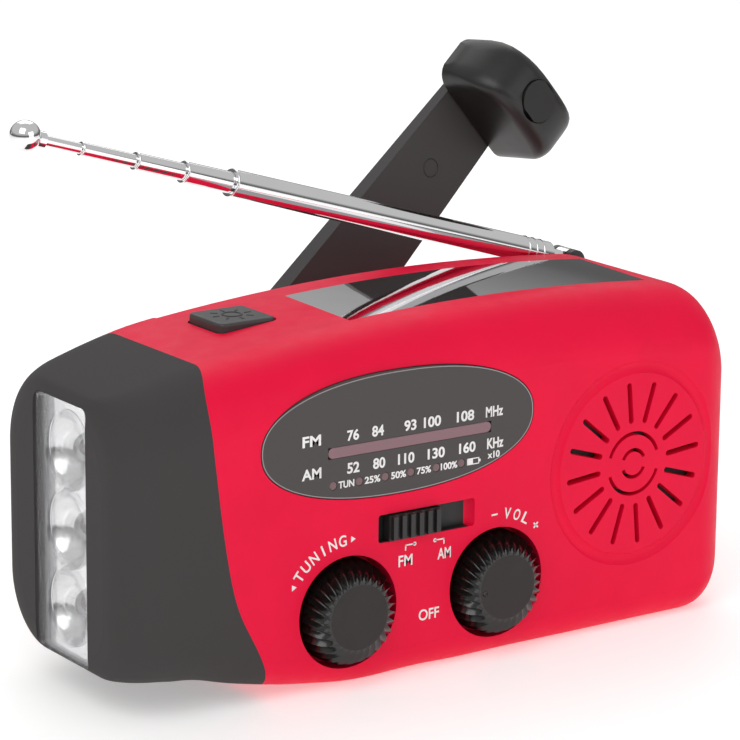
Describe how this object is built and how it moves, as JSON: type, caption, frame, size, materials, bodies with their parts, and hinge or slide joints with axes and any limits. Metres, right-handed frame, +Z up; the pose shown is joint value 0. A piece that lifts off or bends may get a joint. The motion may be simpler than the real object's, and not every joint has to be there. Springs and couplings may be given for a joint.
{
  "type": "emergency radio",
  "caption": "Hand-cranked emergency radio with a torch end, tuning dial, fluted knobs, loudspeaker grille, solar window, folding crank and telescopic antenna.",
  "frame": {"origin": "middle of the flat base, half way along the case and half way through its depth", "axes": "+X from the torch end to the loudspeaker end, -Y out of the front face with the dial, +Z up"},
  "size_m": [0.13, 0.0676, 0.1005],
  "materials": {
    "red_case": "soft-touch satin",
    "head_rubber": "matt, fine grain",
    "torch_window": "clear, polished",
    "reflector_silver": "bright",
    "lamp_clear": "clear epoxy",
    "board_green": "solder mask",
    "window_black": "mirror gloss",
    "cell_blue": "glossy",
    "button_black": "satin",
    "switch_grey": "matt",
    "dial_grey": "satin print",
    "slot_mauve": "translucent",
    "pointer_white": "matt",
    "light_rose": "translucent",
    "knob_black": "satin face, glossy flutes",
    "shaft_steel": "turned",
    "gear_white": "moulded nylon",
    "pot_metal": "satin",
    "cone_paper": "pressed paper",
    "magnet_ferrite": "dull",
    "cell_green": "sleeved",
    "coil_copper": "enamelled wire",
    "socket_metal": "plated",
    "plate_steel": "stamped",
    "crank_black": "satin, fine grain",
    "axle_black": "satin",
    "antenna_chrome": "polished"
  },
  "bodies": {
    "case": {"front_shell": "red_case", "rear_shell": "red_case", "torch_head": "head_rubber", "torch_lens": "torch_window", "torch_reflector": "reflector_silver", "torch_leds": "lamp_clear", "torch_board": "board_green", "solar_window": "window_black", "solar_cell": "cell_blue", "lamp_switch": "switch_grey", "lamp_board": "board_green", "dial_plate": "dial_grey", "slot_lens": "slot_mauve", "indicator_leds": "light_rose", "pointer_rail": "switch_grey", "tuning_capacitor": "switch_grey", "volume_potentiometer": "pot_metal", "band_switch_body": "switch_grey", "main_board": "board_green", "speaker_frame": "pot_metal", "speaker_cone": "cone_paper", "speaker_magnet": "magnet_ferrite", "battery_cells": "cell_green", "battery_holder": "switch_grey", "ferrite_rod": "magnet_ferrite", "antenna_coil": "coil_copper", "port_sockets": "socket_metal", "case_screws": "shaft_steel", "gearbox_front_plate": "plate_steel", "gearbox_rear_plate": "plate_steel", "idler_axle": "shaft_steel", "generator": "pot_metal"},
    "lamp_button": {"lamp_button": "button_black"},
    "band_slider": {"band_slider": "button_black"},
    "tuning": {"tuning_knob": "knob_black", "tuning_shaft": "shaft_steel", "tuning_pinion": "gear_white"},
    "pointer": {"tuning_pointer": "pointer_white"},
    "volume": {"volume_knob": "knob_black", "volume_shaft": "shaft_steel"},
    "port_cover": {"port_cover": "switch_grey"},
    "antenna_foot": {"antenna_base": "axle_black", "antenna_pin": "shaft_steel"},
    "antenna_outer": {"antenna_tube": "antenna_chrome"},
    "antenna_second": {"antenna_section_2": "antenna_chrome"},
    "antenna_third": {"antenna_section_3": "antenna_chrome"},
    "antenna_fourth": {"antenna_section_4": "antenna_chrome"},
    "antenna_end": {"antenna_section_5": "antenna_chrome", "antenna_tip": "antenna_chrome"},
    "crank": {"crank_hub": "crank_black", "crank_shaft": "shaft_steel", "crank_gear": "gear_white", "crank_pin": "shaft_steel"},
    "folding_arm": {"crank_arm": "crank_black", "crank_axle": "axle_black"},
    "hand_knob": {"crank_knob": "crank_black"},
    "idler": {"idler_gear": "gear_white"},
    "generator_rotor": {"generator_shaft": "shaft_steel", "generator_pinion": "gear_white"}
  },
  "joints": [
    {"name": "lamp_button_press", "type": "slide", "parent": "case", "child": "lamp_button", "axis": [0, 0, -1], "range_m": [0, 0.0012], "stiffness_N_per_m": 500, "springref_m": -0.001},
    {"name": "band_slide", "type": "slide", "parent": "case", "child": "band_slider", "axis": [1, 0, 0], "range_m": [0, 0.0062]},
    {"name": "tuning_turn", "type": "hinge", "parent": "case", "child": "tuning", "pos_m": [-0.0216, -0.02, 0.0135], "axis": [0, 1, 0], "range_deg": [-10, 250]},
    {"name": "pointer_slide", "type": "slide", "parent": "case", "child": "pointer", "axis": [1, 0, 0], "range_m": [-0.0012, 0.0276]},
    {"name": "volume_turn", "type": "hinge", "parent": "case", "child": "volume", "pos_m": [0.0097, -0.02, 0.0135], "axis": [0, 1, 0], "range_deg": [0, 300]},
    {"name": "port_cover_swing", "type": "hinge", "parent": "case", "child": "port_cover", "pos_m": [0.03765, 0.02185, 0.0125], "axis": [0, 0, 1], "range_deg": [0, 100]},
    {"name": "antenna_swivel", "type": "hinge", "parent": "case", "child": "antenna_foot", "pos_m": [0.0564, 0.0192, 0.054], "axis": [0, 0, 1], "range_deg": [-14, 0]},
    {"name": "antenna_tilt", "type": "hinge", "parent": "antenna_foot", "child": "antenna_outer", "pos_m": [0.0564, 0.0192, 0.0586], "axis": [0, 1, 0], "range_deg": [-14.5, 120]},
    {"name": "antenna_slide_2", "type": "slide", "parent": "antenna_outer", "child": "antenna_second", "axis": [-0.9591, 0, 0.2832], "range_m": [-0.0095, 0.048]},
    {"name": "antenna_slide_3", "type": "slide", "parent": "antenna_second", "child": "antenna_third", "axis": [-0.9591, 0, 0.2832], "range_m": [-0.0095, 0.048]},
    {"name": "antenna_slide_4", "type": "slide", "parent": "antenna_third", "child": "antenna_fourth", "axis": [-0.9591, 0, 0.2832], "range_m": [-0.0095, 0.048]},
    {"name": "antenna_slide_5", "type": "slide", "parent": "antenna_fourth", "child": "antenna_end", "axis": [-0.9591, 0, 0.2832], "range_m": [-0.007, 0.048]},
    {"name": "crank_spin", "type": "hinge", "parent": "case", "child": "crank", "pos_m": [-0.0015, 0.025, 0.0435], "axis": [0, 1, 0], "continuous": true},
    {"name": "crank_fold", "type": "hinge", "parent": "crank", "child": "folding_arm", "pos_m": [-0.0015, 0.031, 0.0435], "axis": [-0.6441, 0, 0.7649], "range_deg": [0, 160]},
    {"name": "knob_spin", "type": "hinge", "parent": "folding_arm", "child": "hand_knob", "pos_m": [0.05024, 0.04051, 0.08707], "axis": [0.1065, -0.9903, 0.0896], "continuous": true},
    {"name": "idler_spin", "type": "hinge", "parent": "case", "child": "idler", "pos_m": [0.01106, 0.007, 0.03625], "axis": [0, 1, 0], "continuous": true},
    {"name": "generator_spin", "type": "hinge", "parent": "case", "child": "generator_rotor", "pos_m": [-0.00257, 0.005, 0.03129], "axis": [0, 1, 0], "continuous": true}
  ],
  "couplings": [
    {"joint": "pointer_slide", "follows": "tuning_turn", "m_per_rad": 0.0063},
    {"joint": "idler_spin", "follows": "crank_spin", "ratio": -3},
    {"joint": "generator_spin", "follows": "crank_spin", "ratio": 9}
  ]
}
